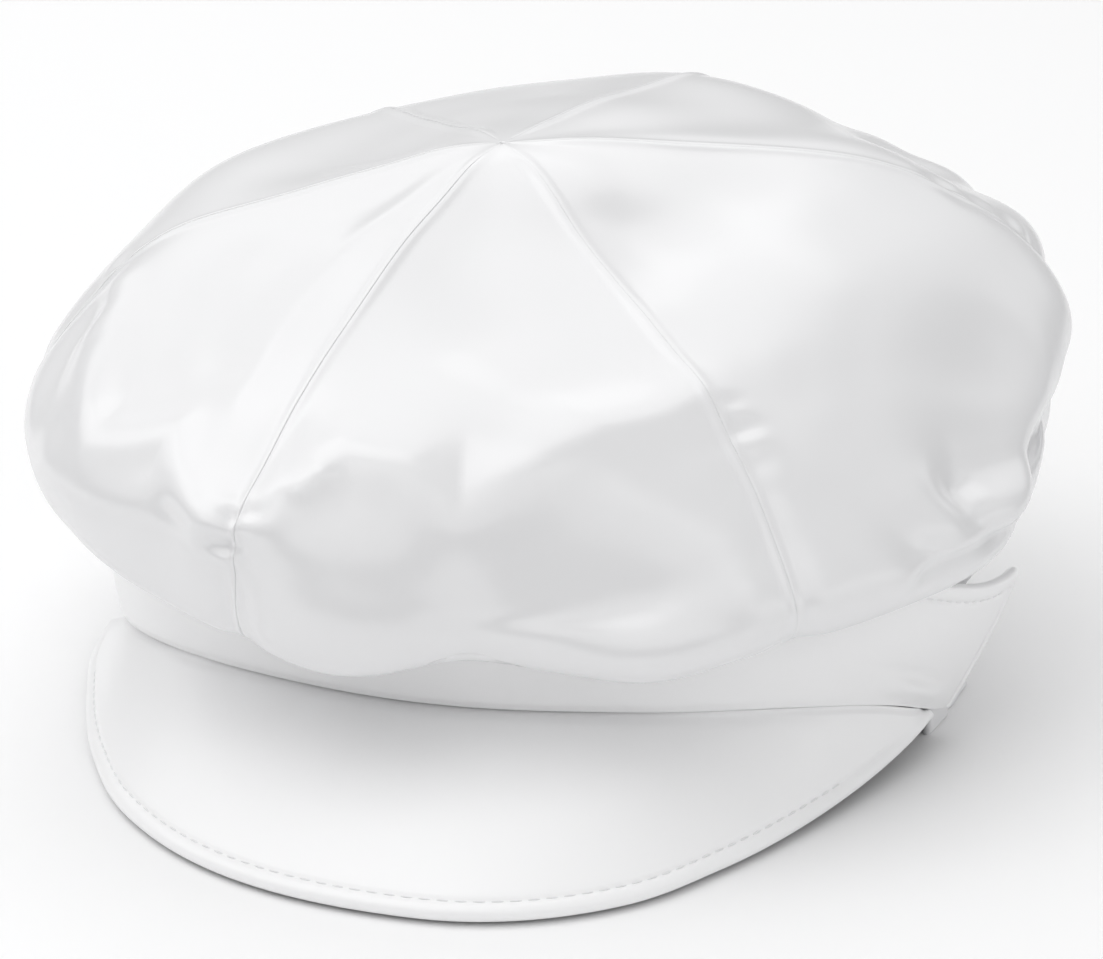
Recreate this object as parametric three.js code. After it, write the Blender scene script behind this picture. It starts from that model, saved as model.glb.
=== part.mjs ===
// Christening cap: a full six-gore crown of padded satin that slouches over a stiff cuff in front,
// an elastic casing that gathers it behind, and a stitched peak that slopes down to the table.
//
// Millimetres, +Z up, the table at z = 0, the peak pointing to -Y.  A heading is a direction seen
// from above, in degrees from the peak, growing towards +X.  The crown has slipped round on its
// band, so places on it are counted in turns: a turn's heading is turn + twist.
//
// Every piece is a wall: a middle surface (u, v) -> point, given a thickness and closed all round.

import * as THREE from 'three';

// Driving dimensions

const CLOTH = 1.6; // wadded satin of the crown
const CUFF_WALL = 2; // stiffened cuff
const CASING_WALL = 1.6; // elastic casing
const PEAK_WALL = 2.6; // stiffened peak, measured straight up
const GAP = 0.3; // clear space between two pieces
const SEAM_GAP = 0.36; // and along the seam between two gores, before the cloth's slip narrows it

const GORES = 6;
const APEX = new THREE.Vector3(-7.2, -0.8, 92); // where the six gores meet
const APEX_HOLE = 0.9; // how far each gore's tip stops short of it

const CUFF_HEIGHT = 23;
const CUFF_END = 101; // heading of the cuff's two free ends
const CUFF_CORNER = 7; // the free top corners are rounded off to this radius
const CUFF_SLANT = 14; // degrees by which each free end draws back towards its lower edge
const CUFF_SLANT_FROM = 50; // heading from which the cuff is drawn back at all
const CUFF_RIM_SHARE = 0.5; // its top edge is rounded off to this share of its wall
const CASING_HEIGHT = 14;
const CASING_START = 85;
const CASING_RIPPLES = 40; // in a whole turn
const CASING_RIPPLE = 0.5; // how far each stands out and in
const CASING_CALM = [6, 14]; // degrees from its ends where the ripples start and are full

const PEAK_END = 81; // heading where the peak runs out on each side
const PEAK_EDGE_SHARE = 0.55; // the peak's outer edge is rounded off to this share of its wall
const PEAK_EDGE_FROM = 0.9; // from this share of its width
const PEAK_BOW = 2.4; // how far its middle bows up between the seam and the outer edge

// Where the band stands, going round.  reach: its distance from the middle at the lower edge,
// lift: the height of that edge, which the peak pushes up in front, flare: how far the cuff's
// top leans out over its bottom.
const BAND_STEP = 30;
const BAND = [
  // heading      reach  lift  flare
  /*   0 */ { reach: 60.5, lift: 20, flare: 3 },
  /*  30 */ { reach: 62.5, lift: 20, flare: 3 },
  /*  60 */ { reach: 68, lift: 16.5, flare: 3.5 },
  /*  90 */ { reach: 70, lift: 4, flare: 7.5 },
  /* 120 */ { reach: 73, lift: 0, flare: 6 },
  /* 150 */ { reach: 74, lift: 0, flare: 3 },
  /* 180 */ { reach: 73, lift: 0, flare: 3 },
  /* 210 */ { reach: 74, lift: 0, flare: 3 },
  /* 240 */ { reach: 73, lift: 0, flare: 4 },
  /* 270 */ { reach: 71, lift: 3, flare: 5 },
  /* 300 */ { reach: 68.5, lift: 14, flare: 3 },
  /* 330 */ { reach: 62.5, lift: 18.5, flare: 3 },
];

// Rings of the crown, going round in turns.  twist: how far the cloth has slipped round on the
// band there; top, shoulder, belly and low are heights; reach is the widest distance from the
// middle, at the belly.
const CROWN_STEP = 30;
const CROWN = [
  // turn      twist  top  shoulder  reach  belly  low
  /*   0 */ { twist: 12.5, top: 81.5, shoulder: 66.5, reach: 75, belly: 41.5, low: 33.5 },
  /*  30 */ { twist: 17, top: 80.5, shoulder: 62, reach: 78.5, belly: 40.5, low: 35.5 },
  /*  60 */ { twist: 26, top: 85.5, shoulder: 69.5, reach: 83, belly: 48, low: 38 },
  /*  90 */ { twist: 30, top: 89, shoulder: 79, reach: 87, belly: 61.5, low: 41 },
  /* 120 */ { twist: 28, top: 90.5, shoulder: 82.5, reach: 86.5, belly: 64, low: 32.5 },
  /* 150 */ { twist: 19.5, top: 90.5, shoulder: 82, reach: 85.5, belly: 54.5, low: 25 },
  /* 180 */ { twist: 16, top: 89.5, shoulder: 78.5, reach: 87, belly: 48, low: 21.5 },
  /* 210 */ { twist: 15, top: 87, shoulder: 75.5, reach: 85.5, belly: 45, low: 21.5 },
  /* 240 */ { twist: 19.5, top: 85, shoulder: 75, reach: 83, belly: 42, low: 31.5 },
  /* 270 */ { twist: 19.5, top: 86.5, shoulder: 74.5, reach: 82.5, belly: 53, low: 41.5 },
  /* 300 */ { twist: 18, top: 85, shoulder: 69.5, reach: 86.5, belly: 50, low: 41.5 },
  /* 330 */ { twist: 12.5, top: 83.5, shoulder: 66, reach: 82, belly: 49, low: 34.5 },
];

// How far along the cloth each ring lies from the apex.  The first is the apex ring mirrored to the
// far side, which makes the crown run level over its middle.
const RING_PLACES = [-28, 0, 28, 66, 96, 114, 128, 136, 143];
const TOP_SHARE = 0.35; // the top ring's distance from the middle, as a share of reach
const SHOULDER_SHARE = 0.78;
const TUCK = 3.5; // how far the low ring has already turned back under the belly

// The crown's lower edge folds in over the band's top and hangs down inside it.  inset and rise
// lead from the middle of the band's top edge to the middle of the cloth.
const HEM = [
  { inset: 1.5, rise: 3.4 },
  { inset: 3.5, rise: -2.4 },
  { inset: 3.5, rise: -9 },
];
const HEM_FOLD = { inward: [68, 84], down: [80, 97] }; // headings where it leaves cuff for casing

// Folds and dents pushed into the crown.  turn and along: where, wide (degrees) and deep (mm along
// the cloth): how far they spread, lean: degrees gained for each mm down, push: out or in.
const FOLDS = [
  { turn: -19, along: 105, wide: 9, deep: 20, lean: 0.1, push: 2.2 }, // left scallop over the peak
  { turn: -4, along: 107, wide: 7, deep: 22, lean: 0, push: -2 }, // notch between the scallops
  { turn: 16, along: 107, wide: 8, deep: 20, lean: -0.1, push: 3.2 }, // right scallop
  { turn: 50, along: 31, wide: 13, deep: 9, lean: 0, push: -1.8 }, // dent by the right seam
  { turn: 45, along: 95, wide: 3.5, deep: 10, lean: 0.2, push: -2.4 }, // deep crease at the side
  { turn: 54, along: 104, wide: 5, deep: 13, lean: -0.5, push: 2 }, // roll of cloth behind it
  { turn: 63, along: 106, wide: 3.5, deep: 12, lean: -0.6, push: -2.4 }, // second crease
  { turn: -38, along: 26, wide: 20, deep: 12, lean: 0, push: 2 }, // fullness near the top, left
  { turn: -28, along: 72, wide: 22, deep: 10, lean: 0, push: 1.8 }, // and where the front rolls over
  { turn: -69, along: 93, wide: 14, deep: 11, lean: 0, push: 2.4 }, // left side fullness
  { turn: 13, along: 88, wide: 10, deep: 9, lean: 0, push: -2 }, // slack under the roll in front
  { turn: 57, along: 82, wide: 14, deep: 10, lean: 0, push: -1.8 }, // slack at the right side
  { turn: 93, along: 45, wide: 12, deep: 24, lean: 0, push: 1.6 }, // ridge at the right
  { turn: 110, along: 74, wide: 12, deep: 14, lean: 0, push: -3 }, // hollow at the right rear
  { turn: 199, along: 70, wide: 14, deep: 12, lean: 0, push: -2 }, // slack at the back
];

const SEWN_DOWN = [110, 122]; // along the cloth: folds fade out towards the sewn hem

const SEAM_DEPTH = 1.1; // the cloth is drawn in along each seam
const SEAM_WIDTH = 3.2;
const SEAM_START = [52, 84]; // along the cloth: where the valley begins and is full

const GATHER_DEPTH = 2; // the elastic puckers the lower crown behind
const GATHER_STEP = 15; // one gather every so many degrees
const GATHER_FRONT = -16; // turn of the middle of the ungathered front
const GATHER_TURNS = [84, 104]; // turns to each side of it: where they begin and are full
const GATHER_ALONG = [76, 108];

// Peak: reach of its outer edge and how high that edge's underside is off the table.
const PEAK = [
  { heading: -82, reach: 74.5, height: 2.6 },
  { heading: -75, reach: 75.4, height: 1 },
  { heading: -60, reach: 77, height: 0 },
  { heading: -45, reach: 82, height: 0 },
  { heading: -30, reach: 89, height: 0 },
  { heading: -15, reach: 94.4, height: 0 },
  { heading: 0, reach: 96.8, height: 0 },
  { heading: 12, reach: 97, height: 0 },
  { heading: 25, reach: 92, height: 0 },
  { heading: 38, reach: 82.5, height: 0 },
  { heading: 52, reach: 75, height: 0.6 },
  { heading: 68, reach: 70.8, height: 2.4 },
  { heading: 82, reach: 70.6, height: 5 },
];

// Columns and rows of the meshes: how far round and how far across each piece they lie.
const FRONT_COLUMNS = [-1, -0.96, -0.88, -0.7, -0.46, -0.22, 0, 0.22, 0.46, 0.7, 0.88, 0.96, 1];
const GATHERED_COLUMNS = 20;
const GORE_ROWS = [5, 12, 20, 29, 39, 49, 58, 66, 74, 82, 90, 97, 104, 110, 115, 120, 125, 130, 136, 143];
const CUFF_COLUMNS = 56;
const CUFF_ROWS = [0, 0.06, 0.35, 0.7, 1];
const CASING_COLUMNS = 84;
const CASING_ROWS = [0, 0.5, 1];
const PEAK_COLUMNS = 44;
const PEAK_ROWS = [0, 0.2, 0.45, 0.7, PEAK_EDGE_FROM, 1];

// Shared mathematics

const radians = THREE.MathUtils.degToRad;
const clamp = THREE.MathUtils.clamp;
const mix = THREE.MathUtils.lerp;
const ramp = THREE.MathUtils.smoothstep; // (x, from, to) -> 0 to 1, level at both ends

/** Values at x of a smooth curve through rows that lie at rising places. */
function curve(places, rows, x) {
  const last = places.length - 3;
  let i = places.findIndex((place) => place > x) - 1;
  if (i < 0) i = x < places[0] ? 0 : places.length - 2;
  const share = ramp(x, places[i], places[i + 1]);
  const before = parabola(places, rows, clamp(i - 1, 0, last), x);
  const after = parabola(places, rows, clamp(i, 0, last), x);
  return before.map((value, k) => mix(value, after[k], share));
}

/** Values at x of the parabolas through the three rows that start at row i. */
function parabola(places, rows, i, x) {
  const [a, b, c] = places.slice(i, i + 3);
  const wa = ((x - b) * (x - c)) / ((a - b) * (a - c));
  const wb = ((x - a) * (x - c)) / ((b - a) * (b - c));
  const wc = ((x - a) * (x - b)) / ((c - a) * (c - b));
  return rows[i].map((value, k) => wa * value + wb * rows[i + 1][k] + wc * rows[i + 2][k]);
}

/** A smooth curve through a table that goes all the way round in equal steps. */
function around(table, step, angle) {
  const keys = Object.keys(table[0]);
  const place = THREE.MathUtils.euclideanModulo(angle, 360) / step;
  const start = Math.floor(place) - 1;
  const near = [0, 1, 2, 3].map((k) => start + k);
  const rows = near.map((k) => Object.values(table[(k + table.length) % table.length]));
  const values = curve(near, rows, place);
  return Object.fromEntries(keys.map((key, k) => [key, values[k]]));
}

/** The point at a distance from the middle, in a heading, at a height. */
function polar(heading, reach, height) {
  const a = radians(heading);
  return new THREE.Vector3(reach * Math.sin(a), -reach * Math.cos(a), height);
}

/** Angle brought into -180 to 180. */
const turned = (angle) => THREE.MathUtils.euclideanModulo(angle + 180, 360) - 180;

/** count + 1 equal steps from a to b. */
const steps = (a, b, count) => Array.from({ length: count + 1 }, (_, i) => mix(a, b, i / count));

// Walls

const NUDGE = { u: 0.4, v: 0.2 }; // how far to each side the slope of a surface is taken

/** Outward unit normal of a surface whose v runs down its outside and whose u runs with heading. */
function normalOf(surface, u, v) {
  const along = surface(u, v + NUDGE.v).sub(surface(u, v - NUDGE.v));
  const across = surface(u + NUDGE.u, v).sub(surface(u - NUDGE.u, v));
  return along.cross(across).normalize();
}

const levelNormal = (surface, u, v) => normalOf(surface, u, v).setZ(0).normalize();
const upright = () => new THREE.Vector3(0, 0, 1);

/**
 * Closed mesh of a wall.  us and vs are the places of its columns and rows, thickness(u, v) its
 * thickness, and normal(surface, u, v) the way in which that is laid off.  Where a tip is given,
 * its two points close the wall beyond the first row.
 */
function wall({ surface, us, vs, thickness, normal = normalOf, tip = null }) {
  const points = [];
  const side = (sign) => vs.map((v) => us.map((u) => {
    const offset = normal(surface, u, v).multiplyScalar((sign * thickness(u, v)) / 2);
    return points.push(surface(u, v).add(offset)) - 1;
  }));
  const outside = side(1);
  const inside = side(-1);
  const faces = [];
  const quad = (a, b, c, d) => faces.push([a, b, c], [a, c, d]);
  const lastRow = vs.length - 1;
  const lastColumn = us.length - 1;
  for (let r = 0; r < lastRow; r += 1) {
    for (let c = 0; c < lastColumn; c += 1) {
      quad(outside[r][c], outside[r + 1][c], outside[r + 1][c + 1], outside[r][c + 1]);
      quad(inside[r][c], inside[r][c + 1], inside[r + 1][c + 1], inside[r + 1][c]);
    }
    quad(outside[r][0], inside[r][0], inside[r + 1][0], outside[r + 1][0]);
    quad(outside[r].at(-1), outside[r + 1].at(-1), inside[r + 1].at(-1), inside[r].at(-1));
  }
  for (let c = 0; c < lastColumn; c += 1) {
    quad(outside[lastRow][c], inside[lastRow][c], inside[lastRow][c + 1], outside[lastRow][c + 1]);
    if (!tip) quad(outside[0][c], outside[0][c + 1], inside[0][c + 1], inside[0][c]);
  }
  if (tip) closeTip(points, faces, outside[0], inside[0], tip);
  const geometry = new THREE.BufferGeometry();
  geometry.setAttribute('position', new THREE.Float32BufferAttribute(points.flatMap((p) => p.toArray()), 3));
  geometry.setIndex(faces.flat());
  geometry.computeVertexNormals();
  return geometry;
}

/** Fans the first row of a wall together at its tip, outside and inside. */
function closeTip(points, faces, outside, inside, tip) {
  const top = points.push(tip.outside) - 1;
  const under = points.push(tip.inside) - 1;
  for (let c = 0; c < outside.length - 1; c += 1) {
    faces.push([top, outside[c], outside[c + 1]], [under, inside[c + 1], inside[c]]);
  }
  const last = outside.length - 1;
  faces.push([top, under, inside[0]], [top, inside[0], outside[0]]);
  faces.push([top, outside[last], inside[last]], [top, inside[last], under]);
}

// Band

/** Middle of the cuff's wall: v runs down from its top edge, 0 to 1. */
function cuffSurface(cut, v) {
  const fromEnd = radians(CUFF_END - Math.abs(cut)) * around(BAND, BAND_STEP, cut).reach;
  const corner = Math.sqrt(1 - (1 - clamp(fromEnd / CUFF_CORNER, 0, 1)) ** 2);
  const up = (1 - v) * (CUFF_HEIGHT - CUFF_CORNER * (1 - corner));
  const heading = cut - Math.sign(cut) * cuffSlant(cut, up);
  const { reach, lift, flare } = around(BAND, BAND_STEP, heading);
  return polar(heading, reach + (flare * up) / CUFF_HEIGHT, lift + up);
}

/** How many degrees the cuff is drawn back at a heading and a height over its lower edge. */
function cuffSlant(heading, up) {
  const share = clamp((Math.abs(heading) - CUFF_SLANT_FROM) / (CUFF_END - CUFF_SLANT_FROM), 0, 1);
  return CUFF_SLANT * share ** 2 * (1 - up / CUFF_HEIGHT);
}

const CASING_INSET = (CUFF_WALL + CASING_WALL) / 2 + GAP;

/** Middle of the elastic casing's wall, which lies inside the cuff where the two overlap. */
function casingSurface(heading, v) {
  const { reach } = around(BAND, BAND_STEP, heading);
  const fromEnd = Math.min(heading - CASING_START, 360 - CASING_START - heading);
  const ripple = CASING_RIPPLE * ramp(fromEnd, ...CASING_CALM) * Math.cos(radians(heading) * CASING_RIPPLES);
  return polar(heading, reach - CASING_INSET + ripple, CASING_HEIGHT * (1 - v));
}

/** Middle of the band's top edge: the cuff's in front, the casing's behind. */
function hemline(heading) {
  const { reach, lift, flare } = around(BAND, BAND_STEP, heading);
  const away = Math.abs(turned(heading));
  const inward = ramp(away, ...HEM_FOLD.inward);
  const down = ramp(away, ...HEM_FOLD.down);
  return {
    reach: mix(reach + flare, reach - CASING_INSET, inward),
    height: mix(lift + CUFF_HEIGHT, CASING_HEIGHT, down),
    lean: mix(flare / CUFF_HEIGHT, 0, inward),
  };
}

// Crown

/** The rings that the cloth runs through on its way out from the apex, as [x, y, z] rows. */
function crownRings(turn) {
  const { twist, top, shoulder, reach, belly, low } = around(CROWN, CROWN_STEP, turn);
  const heading = turn + twist;
  const edge = hemline(heading);
  const off = (share) => new THREE.Vector3(APEX.x, APEX.y, 0).multiplyScalar(1 - share);
  const first = polar(heading, TOP_SHARE * reach, top).add(off(TOP_SHARE));
  const mirrored = new THREE.Vector3(2 * APEX.x - first.x, 2 * APEX.y - first.y, top);
  return [
    mirrored,
    APEX,
    first,
    polar(heading, SHOULDER_SHARE * reach, shoulder).add(off(SHOULDER_SHARE)),
    polar(heading, reach, belly),
    polar(heading, reach - TUCK, low),
    ...HEM.map(({ inset, rise }) => {
      return polar(heading, edge.reach - inset + edge.lean * rise, edge.height + rise);
    }),
  ].map((point) => point.toArray());
}

/** The crown's cloth before folds and seams draw it out of shape. */
const smoothCrown = (turn, along) => new THREE.Vector3(...curve(RING_PLACES, crownRings(turn), along));

/** How far the cloth is pushed out of its smooth shape by its folds. */
function foldPush(turn, along) {
  return FOLDS.reduce((sum, fold) => {
    const down = along - fold.along;
    const aside = turned(turn - fold.turn - fold.lean * down);
    return sum + fold.push * Math.exp(-((aside / fold.wide) ** 2) - (down / fold.deep) ** 2);
  }, 0);
}

/** The puckers that the elastic draws into the lower crown behind, deepest at the seams. */
function gatherPush(turn, along) {
  const behind = ramp(Math.abs(turned(turn - GATHER_FRONT)), ...GATHER_TURNS);
  const lower = ramp(along, ...GATHER_ALONG);
  return -GATHER_DEPTH * behind * lower * Math.cos((2 * Math.PI * turn) / GATHER_STEP);
}

/** The valley along each seam, for a point that lies so far from the crown's middle. */
function seamPush(turn, along, distance) {
  const gore = 360 / GORES;
  const aside = THREE.MathUtils.euclideanModulo(turn, gore) - gore / 2;
  const valley = Math.exp(-(((radians(aside) * distance) / SEAM_WIDTH) ** 2));
  return -SEAM_DEPTH * valley * ramp(along, ...SEAM_START);
}

/** The crown's cloth, at a turn and a distance along it from the apex. */
function crownSurface(turn, along) {
  const point = smoothCrown(turn, along);
  if (along <= APEX_HOLE) return point;
  const distance = Math.hypot(point.x - APEX.x, point.y - APEX.y);
  const free = 1 - ramp(along, ...SEWN_DOWN);
  const loose = foldPush(turn, along) + gatherPush(turn, along) + seamPush(turn, along, distance);
  return point.addScaledVector(normalOf(smoothCrown, turn, along), loose * free);
}

const GORE_HALF = 180 / GORES; // degrees from a gore's middle to its seams
const WIDEST = 60; // along the cloth: beyond this the gap beside a seam is not widened further

/** One gore: a leaf of cloth from the apex to the hem, its middle at the given turn. */
function gore(middle, columns) {
  const surface = (u, along) => {
    const margin = THREE.MathUtils.radToDeg(SEAM_GAP / 2 / clamp(along, APEX_HOLE, WIDEST));
    return crownSurface(middle + u * (1 - margin / GORE_HALF), along);
  };
  const point = surface(0, APEX_HOLE);
  const half = CLOTH / 2;
  return wall({
    surface,
    us: columns.map((share) => share * GORE_HALF),
    vs: GORE_ROWS,
    thickness: () => CLOTH,
    tip: { outside: point.clone().setZ(point.z + half), inside: point.clone().setZ(point.z - half) },
  });
}

// Peak

/** Reach and height of the peak's outer edge at a heading. */
function peakEdge(heading) {
  const rows = PEAK.map(({ reach, height }) => [reach, height]);
  const [reach, height] = curve(PEAK.map((row) => row.heading), rows, heading);
  return { reach, height: Math.max(height, 0) };
}

const peakThickness = (v) => PEAK_WALL * mix(1, PEAK_EDGE_SHARE, ramp(v, PEAK_EDGE_FROM, 1));

/** Middle of the peak's wall: v runs from the seam under the cuff, 0, to the outer edge, 1. */
function peakSurface(heading, v) {
  const base = around(BAND, BAND_STEP, heading);
  const edge = peakEdge(heading);
  const inner = base.lift - GAP - peakThickness(0) / 2;
  const outer = edge.height + peakThickness(1) / 2;
  const bow = PEAK_BOW * Math.sin(Math.PI * v) * Math.cos(radians(heading)) ** 2;
  return polar(heading, mix(base.reach, edge.reach, v), mix(inner, outer, v) + bow);
}

// Assembly

const satin = new THREE.MeshStandardMaterial({ color: 0xf5f5f7, roughness: 0.35, metalness: 0 });
const stiffSatin = new THREE.MeshStandardMaterial({ color: 0xf3f3f6, roughness: 0.38, metalness: 0 });
const gatheredSatin = new THREE.MeshStandardMaterial({ color: 0xf1f1f4, roughness: 0.45, metalness: 0 });

/** A named mesh. */
function piece(name, geometry, material) {
  const mesh = new THREE.Mesh(geometry, material);
  mesh.name = name;
  return mesh;
}

const gathered = steps(-1, 1, GATHERED_COLUMNS);
const GORE_MIDDLES = [
  { name: 'gore_front', turn: 0, columns: FRONT_COLUMNS },
  { name: 'gore_front_right', turn: 60, columns: FRONT_COLUMNS },
  { name: 'gore_back_right', turn: 120, columns: gathered },
  { name: 'gore_back', turn: 180, columns: gathered },
  { name: 'gore_back_left', turn: 240, columns: gathered },
  { name: 'gore_front_left', turn: 300, columns: FRONT_COLUMNS },
];

const cuff = wall({
  surface: cuffSurface,
  us: steps(-CUFF_END, CUFF_END, CUFF_COLUMNS),
  vs: CUFF_ROWS,
  thickness: (u, v) => (v === 0 ? CUFF_WALL * CUFF_RIM_SHARE : CUFF_WALL),
  normal: levelNormal,
});

const casing = wall({
  surface: casingSurface,
  us: steps(CASING_START, 360 - CASING_START, CASING_COLUMNS),
  vs: CASING_ROWS,
  thickness: () => CASING_WALL,
  normal: levelNormal,
});

const peak = wall({
  surface: peakSurface,
  us: steps(-PEAK_END, PEAK_END, PEAK_COLUMNS),
  vs: PEAK_ROWS,
  thickness: (u, v) => peakThickness(v),
  normal: upright,
});

const cap = new THREE.Group();
cap.add(
  ...GORE_MIDDLES.map(({ name, turn, columns }) => piece(name, gore(turn, columns), satin)),
  piece('cuff', cuff, stiffSatin),
  piece('elastic_casing', casing, gatheredSatin),
  piece('peak', peak, stiffSatin),
);

// The origin is under the middle of the whole cap, on the table.
const box = new THREE.Box3().setFromObject(cap);
const middle = box.getCenter(new THREE.Vector3());
cap.position.set(-middle.x, -middle.y, -box.min.z);

export default cap;
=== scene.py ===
"""White satin christening cap on a pale table.

A full crown of six gores slouches over a stiff cuff.  An elastic casing gathers it behind, and a
stitched peak slopes down to the table in front.

Sizes are in millimetres until a mesh is made.  A heading is a direction seen from above, in degrees
from the peak, growing towards +X.  The crown sits a little twisted on its band, so places on it are
given as turns: a turn and the crown's twist there add up to a heading.  Along is how far down the
cloth a place lies from the apex.
"""

import math

import bpy
import numpy as np
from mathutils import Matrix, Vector


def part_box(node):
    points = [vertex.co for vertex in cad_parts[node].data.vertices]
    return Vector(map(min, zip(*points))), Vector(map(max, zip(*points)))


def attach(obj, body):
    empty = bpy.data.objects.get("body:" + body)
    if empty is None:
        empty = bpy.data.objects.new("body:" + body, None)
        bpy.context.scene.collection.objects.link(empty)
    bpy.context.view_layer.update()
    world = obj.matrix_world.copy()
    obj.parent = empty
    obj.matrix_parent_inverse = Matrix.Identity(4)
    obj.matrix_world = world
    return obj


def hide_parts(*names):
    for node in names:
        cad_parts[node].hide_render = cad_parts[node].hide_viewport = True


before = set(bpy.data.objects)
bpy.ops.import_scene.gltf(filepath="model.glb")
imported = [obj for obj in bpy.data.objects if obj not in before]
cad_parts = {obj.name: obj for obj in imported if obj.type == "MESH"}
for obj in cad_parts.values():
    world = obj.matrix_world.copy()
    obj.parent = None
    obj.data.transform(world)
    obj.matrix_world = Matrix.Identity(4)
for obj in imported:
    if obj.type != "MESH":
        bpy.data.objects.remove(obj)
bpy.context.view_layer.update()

METRE = 0.001  # one millimetre

# Camera and light

# Azimuth and elevation in degrees, distance and aim in millimetres, lens in millimetres.
CAMERA_AZIMUTH = 17.8
CAMERA_ELEVATION = 21.2
CAMERA_DISTANCE = 900
CAMERA_AIM = (0, 0, 45)
CAMERA_LENS = 178
CAMERA_SHIFT = (0.0054, -0.0533)

WORLD = 0.3
SOFTBOXES = [
    # name, azimuth, elevation, distance (m), size (m), brightness
    ("overhead_key", -120, 64, 1.3, (2, 2), 0.79),
    ("overhead_front", -40, 60, 1.3, (1.3, 1.1), 0.56),
    ("overhead", 0, 90, 1.3, (1.4, 1.4), 0.34),
    ("rear", 165, 40, 1.4, (1.5, 1), 0.53),
    ("rear_left", -130, 22, 1.4, (1.5, 0.9), 0.17),
    ("front", 17, 38, 1.4, (1.8, 0.9), 0.58),
    ("left", -60, 36, 1.4, (1.6, 1), 0.48),
    ("right", 80, 35, 1.4, (1.5, 1.1), 0.31),
    ("right_low", 80, 10, 1.4, (1.5, 0.6), 0.62),
]

# Band, cuff, casing and peak

CLOTH = 1.6  # thickness of a gore
CUFF_WALL = 2
CASING_WALL = 1.6
PEAK_WALL = 2.3
GAP = 0.3  # between pieces that are sewn together
APEX = (-7.2, -0.8, 92)
GORE_HALF = 30  # degrees from a gore's middle to its seam

CUFF_HEIGHT = 23
CUFF_END = 101  # heading of its free ends
CUFF_CORNER = 7  # radius of their top corners
CUFF_SLANT = 14  # degrees that their lower edge is drawn back
CUFF_SLANT_FROM = 50
CUFF_REACH = 70
CASING_HEIGHT = 14
CASING_START = 85
CASING_INSET = (CUFF_WALL + CASING_WALL) / 2 + GAP
PEAK_END = 81
PEAK_BOW = 2.4  # how far its middle is bowed up
PEAK_REACH = 84

# Where the band stands, every 30 degrees from the front: reach of its lower edge, lift of that
# edge, and flare, how far the cuff's top leans out.
BAND = [
    (60.5, 20, 3),
    (62.5, 20, 3),
    (68, 16.5, 3.5),
    (70, 4, 7.5),
    (73, 0, 6),
    (74, 0, 3),
    (73, 0, 3),
    (74, 0, 3),
    (73, 0, 4),
    (71, 3, 5),
    (68.5, 14, 3),
    (62.5, 18.5, 3),
]

# Rings of the crown, every 30 degrees from the front seen in turns: how far the crown is twisted on
# its band, the heights of top, shoulder, belly and low ring, and the reach of the belly.
CROWN = [
    # twist, top, shoulder, reach, belly, low
    (12.5, 81.5, 66.5, 75, 41.5, 33.5),
    (17, 80.5, 62, 78.5, 40.5, 35.5),
    (26, 85.5, 69.5, 83, 48, 38),
    (30, 89, 79, 87, 61.5, 41),
    (28, 90.5, 82.5, 86.5, 64, 32.5),
    (19.5, 90.5, 82, 85.5, 54.5, 25),
    (16, 89.5, 78.5, 87, 48, 21.5),
    (15, 87, 75.5, 85.5, 45, 21.5),
    (19.5, 85, 75, 83, 42, 31.5),
    (19.5, 86.5, 74.5, 82.5, 53, 41.5),
    (18, 85, 69.5, 86.5, 50, 41.5),
    (12.5, 83.5, 66, 82, 49, 34.5),
]
RING_PLACES = [-28, 0, 28, 66, 96, 114, 128, 136, 143]
TOP_SHARE = 0.35
SHOULDER_SHARE = 0.78
TUCK = 3.5  # how far the low ring lies in from the belly
HEM = [(1.5, 3.4), (3.5, -2.4), (3.5, -9)]  # inset and rise from the band's top
HEM_INWARD = (68, 84)
HEM_DOWN = (80, 97)

# Folds of the crown: turn, along, wide (degrees), deep (mm along), lean (degrees a mm), push (mm).
FOLDS = [
    (-19, 105, 9, 20, 0.1, 2.2),
    (-4, 107, 7, 22, 0, -2),
    (16, 107, 8, 20, -0.1, 3.2),
    (50, 31, 13, 9, 0, -1.8),
    (45, 95, 3.5, 10, 0.2, -2.4),
    (54, 104, 5, 13, -0.5, 2),
    (63, 106, 3.5, 12, -0.6, -2.4),
    (-38, 26, 20, 12, 0, 2),
    (-28, 72, 22, 10, 0, 1.8),
    (-69, 93, 14, 11, 0, 2.4),
    (13, 88, 10, 9, 0, -2),
    (57, 82, 14, 10, 0, -1.8),
    (93, 45, 12, 24, 0, 1.6),
    (110, 74, 12, 14, 0, -3),
    (199, 70, 14, 12, 0, -2),
]
SEWN_DOWN = (110, 122)  # along: folds run out where the cloth is sewn to the band

SEAM_DEPTH = 1.1
SEAM_WIDTH = 3.2
SEAM_START = (52, 84)
GATHER_DEPTH = 2
GATHER_STEP = 15  # degrees from one gather to the next
GATHER_FRONT = -16  # the turn farthest from them
GATHER_TURNS = (84, 104)
GATHER_ALONG = (76, 108)

# Outer edge of the peak: heading, reach, height above the table.
PEAK = [
    (-82, 74.5, 2.6),
    (-75, 75.4, 1),
    (-60, 77, 0),
    (-45, 82, 0),
    (-30, 89, 0),
    (-15, 94.4, 0),
    (0, 96.8, 0),
    (12, 97, 0),
    (25, 92, 0),
    (38, 82.5, 0),
    (52, 75, 0.6),
    (68, 70.8, 2.4),
    (82, 70.6, 5),
]


# Shared mathematics, on numpy arrays


def ramp(x, start, end):
    """0 to 1 between start and end, level at both."""
    t = np.clip((x - start) / (end - start), 0, 1)
    return t * t * (3 - 2 * t)


def mix(a, b, share):
    return a + (b - a) * share


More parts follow.
